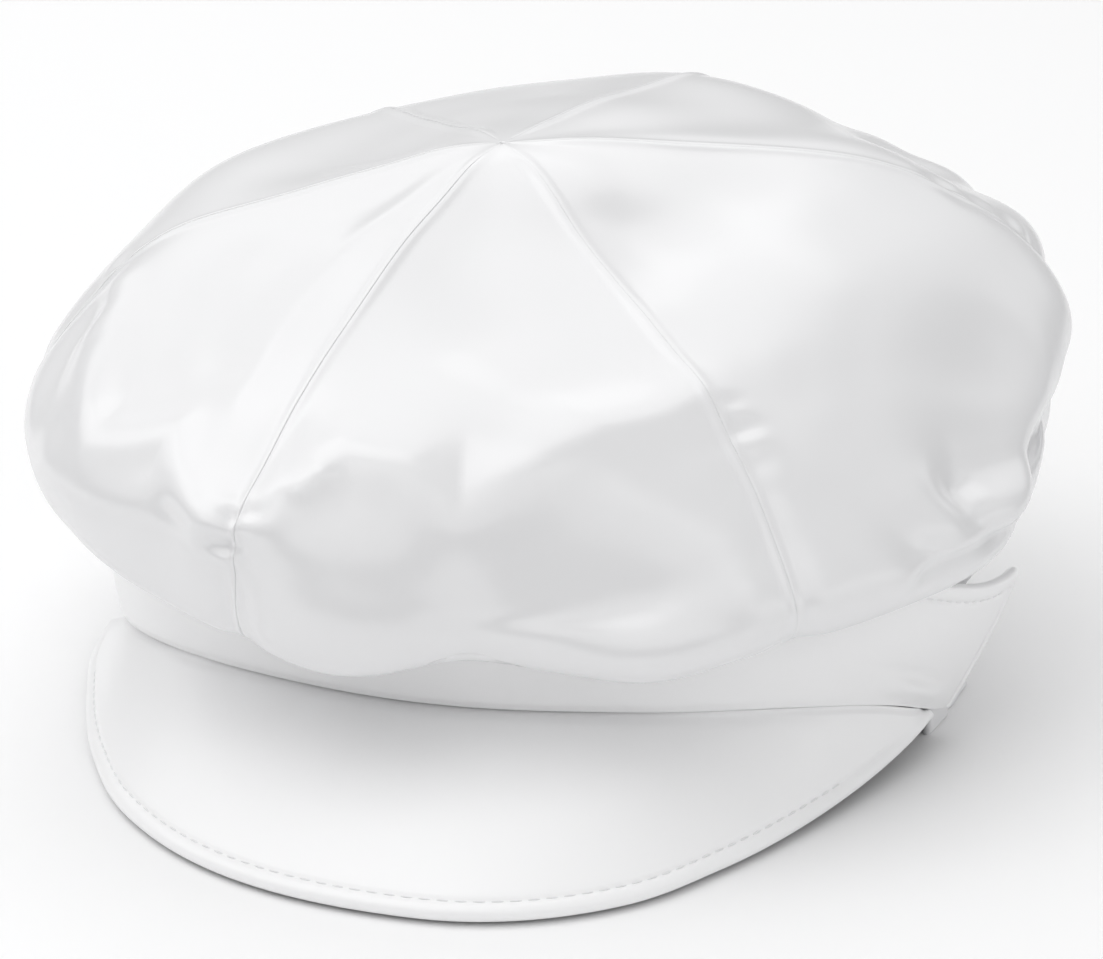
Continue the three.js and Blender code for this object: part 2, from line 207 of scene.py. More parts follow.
def parabola(places, rows, x):
    """Values at x of the parabolas through three rows."""
    a, b, c = places
    wa = (x - b) * (x - c) / ((a - b) * (a - c))
    wb = (x - a) * (x - c) / ((b - a) * (b - c))
    wc = (x - a) * (x - b) / ((c - a) * (c - b))
    return wa[..., None] * rows[0] + wb[..., None] * rows[1] + wc[..., None] * rows[2]


def curve(places, rows, x):
    """Smooth curve through rows of points at rising places; rows has one entry a place."""
    places = np.asarray(places, float)
    x = np.asarray(x, float)
    rows = np.broadcast_to(rows, (len(places),) + x.shape + (rows.shape[-1],))
    i = np.clip(np.searchsorted(places, x, side="right") - 1, 0, len(places) - 2)
    first = np.clip(i - 1, 0, len(places) - 3)
    second = np.clip(i, 0, len(places) - 3)

    def through(start):
        where = [places[start + k] for k in range(3)]
        index = start[None, ..., None] + np.arange(3).reshape((3,) + (1,) * (x.ndim + 1))
        return parabola(where, np.take_along_axis(rows, index, axis=0), x)

    share = ramp(x, places[i], places[i + 1])[..., None]
    return mix(through(first), through(second), share)


def around(table, angle):
    """Smooth curve through a table that goes all the way round in equal steps."""
    table = np.asarray(table, float)
    count = len(table)
    angle = np.asarray(angle, float)
    place = np.mod(angle, 360) * count / 360
    start = np.floor(place).astype(int)
    share = place - start
    near = [table[(start + k) % count] for k in (-1, 0, 1, 2)]
    before = parabola((-1, 0, 1), near[:3], share)
    after = parabola((0, 1, 2), near[1:], share)
    return mix(before, after, ramp(share, 0, 1)[..., None])


def turned(angle):
    """Angles brought into -180 to 180."""
    return np.mod(angle + 180, 360) - 180


def polar(heading, reach, height):
    a = np.radians(heading)
    return np.stack(np.broadcast_arrays(reach * np.sin(a), -reach * np.cos(a), height), axis=-1)


def unit(v):
    return v / np.maximum(np.linalg.norm(v, axis=-1, keepdims=True), 1e-9)


def normals(surface, u, v, du=0.4, dv=0.2):
    """Outward normals of a surface whose v runs down its outside and whose u runs with heading."""
    along = surface(u, v + dv) - surface(u, v - dv)
    across = surface(u + du, v) - surface(u - du, v)
    return unit(np.cross(along, across))


# Band


def cuff_up(cut, v):
    """Height over the cuff's lower edge: v runs down from its top edge, 0 to 1."""
    from_end = np.radians(CUFF_END - np.abs(cut)) * around(BAND, cut)[..., 0]
    corner = np.sqrt(1 - (1 - np.clip(from_end / CUFF_CORNER, 0, 1)) ** 2)
    return (1 - v) * (CUFF_HEIGHT - CUFF_CORNER * (1 - corner))


def cuff_middle(cut, v):
    """Middle of the cuff's wall.  Its free ends are drawn back towards their lower edge."""
    up = cuff_up(cut, v)
    share = np.clip((np.abs(cut) - CUFF_SLANT_FROM) / (CUFF_END - CUFF_SLANT_FROM), 0, 1)
    heading = cut - np.sign(cut) * CUFF_SLANT * share**2 * (1 - up / CUFF_HEIGHT)
    reach, lift, flare = np.moveaxis(around(BAND, heading), -1, 0)
    return polar(heading, reach + flare * up / CUFF_HEIGHT, lift + up)


def hemline(heading):
    """Middle of the band's top edge, the cuff's in front and the casing's behind."""
    reach, lift, flare = np.moveaxis(around(BAND, heading), -1, 0)
    away = np.abs(turned(heading))
    inward = ramp(away, *HEM_INWARD)
    down = ramp(away, *HEM_DOWN)
    return (
        mix(reach + flare, reach - CASING_INSET, inward),
        mix(lift + CUFF_HEIGHT, CASING_HEIGHT, down),
        mix(flare / CUFF_HEIGHT, 0, inward),
    )


# Crown


def smooth_crown(turn, along):
    """The crown's cloth before folds and seams draw it out of shape."""
    twist, top, shoulder, reach, belly, low = np.moveaxis(around(CROWN, turn), -1, 0)
    heading = turn + twist
    edge_reach, edge_height, lean = hemline(heading)
    apex = np.broadcast_to(np.array(APEX, float), turn.shape + (3,))
    centre = apex * (1, 1, 0)
    first = polar(heading, TOP_SHARE * reach, top) + centre * (1 - TOP_SHARE)
    mirrored = 2 * centre - first * (1, 1, -1)
    rings = [
        mirrored,
        apex,
        first,
        polar(heading, SHOULDER_SHARE * reach, shoulder) + centre * (1 - SHOULDER_SHARE),
        polar(heading, reach, belly),
        polar(heading, reach - TUCK, low),
    ]
    for inset, rise in HEM:
        rings.append(polar(heading, edge_reach - inset + lean * rise, edge_height + rise))
    return curve(RING_PLACES, np.stack(rings), along)


def fold_push(folds, turn, along):
    total = np.zeros_like(turn)
    for at, down_at, wide, deep, lean, push in folds:
        down = along - down_at
        aside = turned(turn - at - lean * down)
        total += push * np.exp(-((aside / wide) ** 2) - (down / deep) ** 2)
    return total


def from_seam(turn):
    """Degrees to the nearest seam, with the side as sign."""
    return np.mod(turn, 2 * GORE_HALF) - GORE_HALF


def crown_push(turn, along, distance):
    """How far the cloth stands out of its smooth shape."""
    behind = ramp(np.abs(turned(turn - GATHER_FRONT)), *GATHER_TURNS)
    lower = ramp(along, *GATHER_ALONG)
    gathers = -GATHER_DEPTH * behind * lower * np.cos(2 * np.pi * turn / GATHER_STEP)
    aside = np.radians(from_seam(turn)) * distance
    seam = -SEAM_DEPTH * np.exp(-((aside / SEAM_WIDTH) ** 2)) * ramp(along, *SEAM_START)
    free = 1 - ramp(along, *SEWN_DOWN)
    return (fold_push(FOLDS, turn, along) + gathers + seam) * free


def crown_cloth(turn, along):
    """Points of the crown's middle surface."""
    point = smooth_crown(turn, along)
    distance = np.hypot(point[..., 0] - APEX[0], point[..., 1] - APEX[1])
    outward = normals(smooth_crown, turn, along)
    return point + outward * crown_push(turn, along, distance)[..., None]


# Peak


def peak_edge(heading):
    table = np.array(PEAK, float)
    rows = table[:, 1:].reshape((len(PEAK),) + (1,) * heading.ndim + (2,))
    reach, height = np.moveaxis(curve(table[:, 0], rows, heading), -1, 0)
    return reach, np.maximum(height, 0)


def peak_middle(heading, v):
    reach, lift, _ = np.moveaxis(around(BAND, heading), -1, 0)
    edge_reach, height = peak_edge(heading)
    inner = lift - GAP - PEAK_WALL / 2
    bow = PEAK_BOW * np.sin(np.pi * v) * np.cos(np.radians(heading)) ** 2
    return polar(heading, mix(reach, edge_reach, v), mix(inner, height + PEAK_WALL / 2, v) + bow)


def shift_to_frame():
    """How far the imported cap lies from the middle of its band."""
    heading, v = np.meshgrid(np.linspace(-PEAK_END, PEAK_END, 45), [0, 1])
    points = peak_middle(heading, v)
    low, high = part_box("peak")
    middle = (points.reshape(-1, 3).min(0) + points.reshape(-1, 3).max(0)) / 2
    packed = (np.array(low) + np.array(high)) / 2 / METRE
    return np.array([packed[0] - middle[0], packed[1] - middle[1], 0])


SHIFT = shift_to_frame()


# Meshes


def grid_faces(rows, columns, start=0, flip=False):
    """Quads of a grid whose rows run down the outside."""
    index = start + np.arange(rows * columns).reshape(rows, columns)
    corners = [index[:-1, :-1], index[1:, :-1], index[1:, 1:], index[:-1, 1:]]
    if flip:
        corners.reverse()
    return np.stack(corners, axis=-1).reshape(-1, 4)


def rim_faces(rows, columns):
    """Quads that close the four edges between an outer and an inner grid."""
    outer = np.arange(rows * columns).reshape(rows, columns)
    inner = outer + rows * columns

    def strip(a, b, flip):
        quad = [a[:-1], b[:-1], b[1:], a[1:]]
        if flip:
            quad.reverse()
        return np.stack(quad, axis=-1)

    return np.concatenate(
        [
            strip(outer[-1], inner[-1], False),
            strip(outer[0], inner[0], True),
            strip(outer[:, 0], inner[:, 0], False),
            strip(outer[:, -1], inner[:, -1], True),
        ]
    )


def make_piece(name, points, faces, cloth, materials, face_materials=None):
    """A smooth-shaded mesh in metres that rides on the cap.  cloth holds each point's place on
    the flat cloth, in millimetres, for the weave."""
    mesh = bpy.data.meshes.new(name)
    mesh.from_pydata(((points + SHIFT) * METRE).tolist(), [], faces.tolist())
    layer = mesh.uv_layers.new(name="cloth")
    loops = np.empty(len(mesh.loops), int)
    mesh.loops.foreach_get("vertex_index", loops)
    layer.data.foreach_set("uv", (cloth[loops]).astype(float).ravel())
    for material in materials:
        mesh.materials.append(material)
    if face_materials is not None:
        mesh.polygons.foreach_set("material_index", face_materials)
    mesh.shade_smooth()
    mesh.update()
    piece = bpy.data.objects.new(name, mesh)
    bpy.context.scene.collection.objects.link(piece)
    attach(piece, "root")
    return piece


def make_wall(name, outside, inside, cloth, materials):
    """A closed wall from two grids of points of one size."""
    rows, columns = outside.shape[:2]
    points = np.concatenate([outside.reshape(-1, 3), inside.reshape(-1, 3)])
    outer = grid_faces(rows, columns)
    inner = grid_faces(rows, columns, rows * columns, flip=True)
    rim = rim_faces(rows, columns)
    flat = cloth.reshape(-1, 2)
    kinds = np.repeat([0, len(materials) - 1, 0], [len(outer), len(inner), len(rim)])
    faces = np.concatenate([outer, inner, rim])
    return make_piece(name, points, faces, np.concatenate([flat, flat]), materials, kinds)


def rounded(distance, radius):
    """Share of its full thickness that a wall has near a free edge."""
    return np.sqrt(1 - (1 - np.clip(distance / radius, 0, 1)) ** 2)


# Shader groups and materials


def new_group(name, inputs, outputs):
    group = bpy.data.node_groups.new(name, "ShaderNodeTree")
    for label, kind, value in inputs:
        socket = group.interface.new_socket(label, in_out="INPUT", socket_type=kind)
        if value is not None:
            socket.default_value = value
    for label, kind in outputs:
        group.interface.new_socket(label, in_out="OUTPUT", socket_type=kind)
    return group, group.nodes.new("NodeGroupInput"), group.nodes.new("NodeGroupOutput")


def math_node(tree, operation, *values, clamp=False):
    """A maths node; each value is a number or an output socket."""
    node = tree.nodes.new("ShaderNodeMath")
    node.operation = operation
    node.use_clamp = clamp
    for socket, value in zip(node.inputs, values):
        if isinstance(value, (int, float)):
            socket.default_value = value
        else:
            tree.links.new(value, socket)
    return node.outputs[0]


def noise_node(tree, vector, scale, detail=2.0, rough=0.5):
    node = tree.nodes.new("ShaderNodeTexNoise")
    node.inputs["Scale"].default_value = scale
    node.inputs["Detail"].default_value = detail
    node.inputs["Roughness"].default_value = rough
    tree.links.new(vector, node.inputs["Vector"])
    return node.outputs["Fac"]


def stretched(tree, vector, scale):
    node = tree.nodes.new("ShaderNodeVectorMath")
    node.operation = "MULTIPLY"
    node.inputs[1].default_value = scale
    tree.links.new(vector, node.inputs[0])
    return node.outputs[0]


def weave_group():
    """Satin weave: long floats down the cloth, each row of tie-downs set over from the last."""
    floats_long, set_over, tie_share = 4.0, 0.4, 0.12
    tree, source, sink = new_group(
        "satin_weave",
        [("Cloth", "NodeSocketVector", None), ("Thread", "NodeSocketFloat", 0.3)],
        [("Height", "NodeSocketFloat"), ("Tone", "NodeSocketFloat")],
    )
    split = tree.nodes.new("ShaderNodeSeparateXYZ")
    tree.links.new(source.outputs["Cloth"], split.inputs[0])
    thread = source.outputs["Thread"]
    column = math_node(tree, "DIVIDE", split.outputs["X"], thread)
    length = math_node(tree, "MULTIPLY", thread, floats_long)
    row = math_node(tree, "DIVIDE", split.outputs["Y"], length)
    half_turns = math_node(tree, "MULTIPLY", column, math.pi)
    float_round = math_node(tree, "ABSOLUTE", math_node(tree, "SINE", half_turns))
    aside = math_node(tree, "MULTIPLY", math_node(tree, "FLOOR", column), set_over)
    tie = math_node(tree, "PINGPONG", math_node(tree, "ADD", row, aside), 0.5)
    tied = math_node(tree, "MULTIPLY", math_node(tree, "SUBTRACT", tie_share, tie), 6.0, clamp=True)
    slub = noise_node(tree, stretched(tree, source.outputs["Cloth"], (0.9, 0.5, 1)), 1.0)
    height = math_node(tree, "SUBTRACT", float_round, tied)
    tree.links.new(height, sink.inputs["Height"])
    weave_tone = math_node(tree, "MULTIPLY", height, 0.2)
    slub_tone = math_node(tree, "MULTIPLY", slub, 0.34)
    tree.links.new(math_node(tree, "ADD", weave_tone, slub_tone), sink.inputs["Tone"])
    return tree


def crease_group():
    """Soft handling creases and the slight unevenness of wadding under the satin."""
    tree, source, sink = new_group(
        "soft_creases",
        [("Cloth", "NodeSocketVector", None), ("Size", "NodeSocketFloat", 9.0)],
        [("Height", "NodeSocketFloat")],
    )
    scaled = tree.nodes.new("ShaderNodeVectorMath")
    scaled.operation = "DIVIDE"
    tree.links.new(source.outputs["Cloth"], scaled.inputs[0])
    joined = tree.nodes.new("ShaderNodeCombineXYZ")
    for axis in "XYZ":
        tree.links.new(source.outputs["Size"], joined.inputs[axis])
    tree.links.new(joined.outputs[0], scaled.inputs[1])
    broad = noise_node(tree, scaled.outputs[0], 0.35, 1.0)
    fine = noise_node(tree, stretched(tree, scaled.outputs[0], (1.6, 0.7, 1)), 1.4, 2.0, 0.45)
    height = math_node(tree, "ADD", broad, math_node(tree, "MULTIPLY", fine, 0.065))
    tree.links.new(height, sink.inputs["Height"])
    return tree


WEAVE = weave_group()
CREASES = crease_group()
CREASE_SIZE = 9.0  # mm
ROUGHNESS_SPREAD = 0.012  # between floats and ties


def place_group(tree, group, cloth, **values):
    node = tree.nodes.new("ShaderNodeGroup")
    node.node_tree = group
    tree.links.new(cloth, node.inputs["Cloth"])
    for label, value in values.items():
        node.inputs[label].default_value = value
    return node


def cloth_material(
    name, light, shade, roughness, sheen, gloss, anisotropy, thread, weave_mm, crease_mm
):
    """White cloth: light and shade are its tones between floats and ties."""
    material = bpy.data.materials.new(name)
    material.use_nodes = True
    tree = material.node_tree
    surface = tree.nodes["Principled BSDF"]
    place = tree.nodes.new("ShaderNodeUVMap")
    place.uv_map = "cloth"
    cloth = place.outputs["UV"]
    weave = place_group(tree, WEAVE, cloth, Thread=thread)
    creases = place_group(tree, CREASES, cloth, Size=CREASE_SIZE)
    tones = tree.nodes.new("ShaderNodeMix")
    tones.data_type = "RGBA"
    tones.inputs["A"].default_value = (*shade, 1)
    tones.inputs["B"].default_value = (*light, 1)
    tree.links.new(weave.outputs["Tone"], tones.inputs["Factor"])
    tree.links.new(tones.outputs["Result"], surface.inputs["Base Color"])
    rough = tree.nodes.new("ShaderNodeMapRange")
    rough.inputs["To Min"].default_value = roughness + ROUGHNESS_SPREAD
    rough.inputs["To Max"].default_value = roughness - ROUGHNESS_SPREAD
    tree.links.new(weave.outputs["Tone"], rough.inputs["Value"])
    tree.links.new(rough.outputs[0], surface.inputs["Roughness"])
    soft = tree.nodes.new("ShaderNodeBump")
    soft.inputs["Distance"].default_value = crease_mm * METRE
    tree.links.new(creases.outputs["Height"], soft.inputs["Height"])
    fine = tree.nodes.new("ShaderNodeBump")
    fine.inputs["Distance"].default_value = weave_mm * METRE
    tree.links.new(weave.outputs["Height"], fine.inputs["Height"])
    tree.links.new(soft.outputs["Normal"], fine.inputs["Normal"])
    tree.links.new(fine.outputs["Normal"], surface.inputs["Normal"])
    surface.inputs["IOR"].default_value = gloss
    surface.inputs["Sheen Weight"].default_value = sheen
    surface.inputs["Sheen Roughness"].default_value = 0.4
    surface.inputs["Anisotropic"].default_value = anisotropy
    if anisotropy:
        tangent = tree.nodes.new("ShaderNodeTangent")
        tangent.direction_type = "UV_MAP"
        tangent.uv_map = "cloth"
        tree.links.new(tangent.outputs["Tangent"], surface.inputs["Tangent"])
    return material


crown_satin = cloth_material(
    "crown_satin", (0.82, 0.82, 0.83), (0.81, 0.81, 0.82), 0.245, 0.1, 2.1, 0.15, 0.3, 0.0008, 0.16
)
# The cuff is the same white satin as the crown, but its colour is painted lighter (0.92 against 0.82). This
# is painted light that lifts the shade the cuff gets below the crown.
cuff_satin = cloth_material(
    "cuff_satin", (0.92, 0.92, 0.925), (0.91, 0.91, 0.915), 0.28, 0.1, 1.9, 0.15, 0.3, 0.0005, 0.16
)
casing_satin = cloth_material(
    "casing_satin", (0.84, 0.84, 0.85), (0.83, 0.83, 0.84), 0.34, 0.1, 1.8, 0.15, 0.3, 0.001, 0.2
)
# The peak is the same white satin as the crown, but its colour is painted almost white (0.97 against 0.82).
# This is painted light that lifts the shade cast on it by the crown's overhang.
peak_satin = cloth_material(
    "peak_satin", (0.97, 0.97, 0.975), (0.96, 0.96, 0.965), 0.3, 0.1, 1.55, 0.15, 0.3, 0.0005, 0.12
)
lining = cloth_material(
    "lining", (0.88, 0.88, 0.88), (0.82, 0.82, 0.825), 0.7, 0.2, 1.4, 0, 0.45, 0.012, 0.4
)
thread = cloth_material(
    "thread", (0.92, 0.92, 0.925), (0.84, 0.84, 0.85), 0.35, 0.1, 1.6, 0, 0.12, 0.01, 0.0
)


# Crown gores

SEAM_EDGE = np.array([0.02, 0.09, 0.18, 0.29, 0.43, 0.62, 0.9, 1.3, 1.9, 2.8, 3.8])  # mm from a seam
GORE_COLUMNS = 72
GORE_BODY_ROWS = 156
GORE_ROWS = np.concatenate(
    [np.linspace(0.15, 4, 8), np.linspace(5, 132, GORE_BODY_ROWS), np.linspace(134, 143, 7)]
)

FACET = 0.22  # how flat the cloth is pulled between the seams under the apex
FACET_END = (34, 74)
SEAM_GROOVE = 0.05
SEAM_GROOVE_WIDTH = 0.18
ALLOWANCE_RISE = 0.36  # the seam allowances are pressed to one side under the cloth
ALLOWANCE_UNDER = 0.75  # and raise the other side by this share
ALLOWANCE_EDGE = (0.5, 1.7)

# Puckers where a seam draws the cloth in: the seam's turn, from and to (mm along), push and step
# (mm), and the side that shows them most.
PUCKERS = [
    (30, 50, 88, 0.32, 6.3, 1),
    (-30, 78, 106, 0.4, 6.5, -1),
    (90, 50, 112, 0.4, 9.5, 1),
    (150, 60, 116, 0.6, 10, -1),
    (-150, 60, 116, 0.6, 11, 1),
    (-90, 60, 112, 0.4, 9, -1),
]

# Ridges and hollows that run over the cloth: width (mm), push, and the places they run through,
# each a turn and a distance along.
SLACK_LINES = [
    (5.5, 1.7, [(-33, 93), (-26, 80), (-20, 73), (-12, 75), (-5, 81), (4, 74), (13, 64), (28, 57)]),
    (8, -1.5, [(-26, 99), (-18, 95), (-5, 94), (6, 92), (15, 90)]),
    (3, -0.35, [(26, 84), (-7, 101)]),
    (2.2, -0.8, [(-33, 94), (-25, 84)]),
    (2.2, -0.7, [(-33, 95), (-41, 91)]),
    (2.4, 0.9, [(-29, 92), (-22, 78)]),
    (1.6, 0.5, [(-31, 91.5), (-29, 89)]),
    (1.5, -0.6, [(-31, 94.5), (-29, 93)]),
    (1.4, 0.4, [(-31, 97), (-29.5, 96)]),
    (1.4, 0.6, [(-31.5, 98), (-29, 107)]),
    (1.4, 0.6, [(-29.5, 98), (-26.5, 107)]),
    (5, 1.5, [(-76, 76), (-67, 79), (-58, 84), (-46, 77), (-40, 84), (-35, 93)]),
    (8, -1.6, [(-60, 103), (-50, 100), (-43, 100)]),
    (6, -1, [(-80, 78), (-70, 92)]),
    (4.5, 1, [(-82, 70), (-72, 71), (-62, 79)]),
    (8, 0.9, [(46, 38), (65, 55), (88, 75)]),
    (5, 0.7, [(35, 42), (34, 74)]),
    (8, -0.9, [(44, 62), (66, 78)]),
    (6, -0.8, [(-66, 46), (-48, 62)]),
    (3, 0.35, [(-50, 4), (-45, 40), (-40, 66), (-35, 88)]),
    (9, -1.6, [(-4, 48), (4, 56)]),
    (8, -1.5, [(52, 24), (70, 31)]),
    (7, -1.2, [(12, 99), (22, 97)]),
    (10, -2.4, [(66, 103), (76, 106), (98, 108)]),
    (5.5, -2.2, [(53, 85), (60, 91), (67, 98), (78, 104), (98, 107)]),
    (2.8, -1.3, [(51, 87), (51, 96), (53, 103)]),
    (5, 0.9, [(46.5, 84), (47, 100)]),
    (2.6, -1.3, [(44, 102), (52, 103), (58, 104)]),
]
PUCKER_REACH = 2.4  # mm from the seam

# Small slack folds over the whole crown: waves, each with its own phase.
DRIFT_HEIGHT = 0.16
DRIFT_LENGTHS = (26, 52)
drift_random = np.random.default_rng(11)
DRIFT_WAVES = []
for _ in range(9):
    direction = unit(drift_random.normal(size=3))
    wave = direction * 2 * np.pi / drift_random.uniform(*DRIFT_LENGTHS)
    DRIFT_WAVES.append((wave, drift_random.uniform(0, 2 * np.pi)))


def drift(point):
    return sum(DRIFT_HEIGHT * np.sin(point @ wave + phase) for wave, phase in DRIFT_WAVES)


def pucker_push(turn, along, distance):
    total = np.zeros_like(turn)
    for seam, start, end, push, step, side in PUCKERS:
        aside = np.radians(turned(turn - seam)) * distance
        window = ramp(along, start, start + 14) * (1 - ramp(along, end - 14, end))
        near = np.exp(-(((np.abs(aside) - 2.5) / PUCKER_REACH) ** 2))
        uneven = np.where(aside * side > 0, 1, 0.2) * (0.62 + 0.38 * np.sin(along / 3.9 + 2 * seam))
        phase = along / step + 0.35 * np.sin(along / 7.3 + seam) + 0.18 * np.sign(aside)
        total += push * window * near * uneven * np.sin(2 * np.pi * phase)
    return total


def crease_push(turn, along, distance):
    total = np.zeros_like(turn)
    for wide, push, places in SLACK_LINES:
        nearest = np.full(turn.shape, np.inf)
        for (turn_a, along_a), (turn_b, along_b) in zip(places, places[1:]):
            across = np.radians(turned(turn - turn_a)) * distance
            down = along - along_a
            run = np.radians(turn_b - turn_a) * distance
            fall = along_b - along_a
            share = np.clip((across * run + down * fall) / (run**2 + fall**2), 0, 1)
            nearest = np.minimum(nearest, (across - share * run) ** 2 + (down - share * fall) ** 2)
        total += push * np.exp(-nearest / wide**2)
    return total


def facet_push(turn, along, distance):
    from_middle = np.radians(GORE_HALF - np.abs(from_seam(turn)))
    bow = np.cos(from_middle) / math.cos(math.radians(GORE_HALF)) - 1
    front = 0.55 + 0.45 * np.cos(np.radians(turn))
    return -FACET * front * distance * bow * (1 - ramp(along, *FACET_END))


def gore_grids(middle):
    """Outer and inner points and flat places of one gore."""
    along = GORE_ROWS
    centre = smooth_crown(np.full(along.shape, float(middle)), along)
    half = np.radians(GORE_HALF) * np.maximum(
        np.hypot(centre[:, 0] - APEX[0], centre[:, 1] - APEX[1]), 0.1
    )
    edge = SEAM_EDGE[None, :] * np.minimum(1, half / 9)[:, None]
    inner = np.linspace(-1, 1, GORE_COLUMNS)[None, 1:-1] * (half - edge[:, -1])[:, None]
    aside = np.concatenate([edge - half[:, None], inner, (half[:, None] - edge)[:, ::-1]], axis=1)
    turn = middle + aside / half[:, None] * GORE_HALF
    down = np.broadcast_to(along[:, None], turn.shape)
    point = crown_cloth(turn, down)
    outward = normals(crown_cloth, turn, down)
    flat = smooth_crown(turn, down)
    distance = np.hypot(flat[..., 0] - APEX[0], flat[..., 1] - APEX[1])
    from_edge = half[:, None] - np.abs(aside)
    free = 1 - ramp(down, *SEWN_DOWN)
    small = pucker_push(turn, down, distance) + crease_push(turn, down, distance) + drift(flat)
    base = (facet_push(turn, down, distance) + small * ramp(down, 2, 20)) * free
    groove = -SEAM_GROOVE * np.exp(-((from_edge / SEAM_GROOVE_WIDTH) ** 2)) * ramp(down, 0.5, 4)
    pressed = np.where(aside > 0, 1, ALLOWANCE_UNDER)
    allowance = ALLOWANCE_RISE * pressed * (1 - ramp(from_edge, *ALLOWANCE_EDGE)) * ramp(down, 3, 12) * free
    outside = point + outward * (CLOTH / 2 + base + groove + allowance)[..., None]
    inside = point + outward * (base - CLOTH / 2)[..., None]
    return outside, inside, np.stack([aside, down], axis=-1)


GORES = [
    ("gore_front", 0),
    ("gore_front_right", 60),
    ("gore_back_right", 120),
    ("gore_back", 180),
    ("gore_back_left", 240),
    ("gore_front_left", 300),
]
for gore_name, gore_middle in GORES:
    gore = make_wall("satin_" + gore_name, *gore_grids(gore_middle), [crown_satin, lining])
    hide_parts(gore_name)


# Cuff

RIM = np.array([0, 0.015, 0.06, 0.13, 0.24, 0.38, 0.56, 0.78, 1.05])  # mm from a rounded edge
CUFF_STITCH = 3.2  # mm from the rim
CUFF_GROOVE = 0.3
CUFF_LENGTH = math.radians(CUFF_END) * CUFF_REACH  # from its middle to each free end
CUFF_HANG = 0.08  # the lower edge is sewn down towards the peak
SEAM_FADE = (44, 66)  # headings where the pressed seam to the peak runs out into smooth cloth

# Rolls and creases of the cuff: heading, up (mm), wide (degrees), tall (mm), lean (mm a degree), push.
CUFF_FOLDS = [
    (80, 3.2, 8, 1.5, -0.06, 1.3),
    (80, 0.3, 8, 1.1, -0.06, -0.9),
    (76, 6.2, 9, 1.1, -0.05, -0.45),
    (66, 12, 14, 5, 0, 0.5),
    (50, 15, 12, 3.5, 0.05, -0.4),
    (18, 12, 20, 6, 0, 0.35),
    (-62, 9, 14, 5, 0, 0.4),
]


def cuff_rim_distance(heading, up, reach):
    """Distance of a place on the cuff from its free outline, which has rounded top corners."""
    from_end = np.radians(CUFF_END - np.abs(heading)) * reach
    x = CUFF_CORNER - from_end
    z = up - (CUFF_HEIGHT - CUFF_CORNER)
    outside = np.hypot(np.maximum(x, 0), np.maximum(z, 0))
    return CUFF_CORNER - outside - np.minimum(np.maximum(x, z), 0)


def cuff_fold_push(heading, up):
    total = np.zeros_like(heading)
    for at, up_at, wide, tall, lean, push in CUFF_FOLDS:
        aside = heading - at
        rise = up - up_at - lean * aside
        total += push * np.exp(-((aside / wide) ** 2) - (rise / tall) ** 2)
    return total


def cuff_surface(heading, drop):
    """Outer face, outward direction and rim distance of the cuff at a distance under its top edge."""
    heading = np.clip(heading, -CUFF_END + 1e-4, CUFF_END - 1e-4)
    v = drop / CUFF_HEIGHT
    point = cuff_middle(heading, v)
    reach = around(BAND, heading)[..., 0]
    up = cuff_up(heading, v)
    inside_ends = np.clip(heading, -CUFF_END + 0.5, CUFF_END - 0.5)
    outward = unit(normals(cuff_middle, inside_ends, v, 0.4, 0.02) * (1, 1, 0))
    distance = np.maximum(cuff_rim_distance(heading, up, reach), 0)
    edge = rounded(distance, 1)
    groove = -CUFF_GROOVE * np.exp(-(((distance - CUFF_STITCH) / 0.45) ** 2))
    puff = 0.22 * np.sin(np.pi * np.clip(distance / CUFF_STITCH, 0, 1))
    height = np.clip(up / CUFF_HEIGHT, 0, 1)
    wave = 0.3 * np.sin(np.radians(heading) * 7 + 0.6) * np.sin(np.pi * height)
    pressed = 1 - 0.85 * ramp(heading, *SEAM_FADE)
    valley = -0.7 * pressed * np.exp(-((np.maximum(up, 0) / 0.9) ** 2))
    push = (groove + puff) * edge + (valley + cuff_fold_push(heading, up)) * ramp(distance, 0.5, 4)
    half = CUFF_WALL / 2 * edge
    point = point + outward * wave[..., None]
    return point, outward, half, push, up


def cuff_grids():
    ends = np.concatenate([RIM, [1.5, 2.1, 2.6, 3, 3.4, 3.9]])
    inner = np.linspace(-1, 1, 190)[1:-1] * (CUFF_LENGTH - ends[-1])
    arc = np.concatenate([ends - CUFF_LENGTH, inner, (CUFF_LENGTH - ends)[::-1]])
    under_rim = [1.5, 2, 2.4, 2.7, 2.95, 3.2, 3.45, 3.7, 4, 4.5]
    body = np.linspace(5.2, 20.5, 26)
    foot = [21, 21.4, 21.8, 22.1, 22.4, 22.65, 22.85, 23, 23 + CUFF_HANG]
    drop = np.concatenate([RIM, under_rim, body, foot])
    heading, drop = np.meshgrid(arc / CUFF_LENGTH * CUFF_END, drop)
    point, outward, half, push, up = cuff_surface(heading, drop)
    outside = point + outward * (half + push)[..., None]
    inside = point - outward * half[..., None]
    return outside, inside, np.stack([np.radians(heading) * CUFF_REACH, up], axis=-1)


cuff = make_wall("satin_cuff", *cuff_grids(), [cuff_satin])
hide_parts("cuff")


# Elastic casing

CASING_REACH = 74
CASING_HALF = math.radians(180 - CASING_START) * CASING_REACH
TUNNEL_PLACES = (0.16, 0.84)  # the two stitched lines that hold the elastic, as shares of height


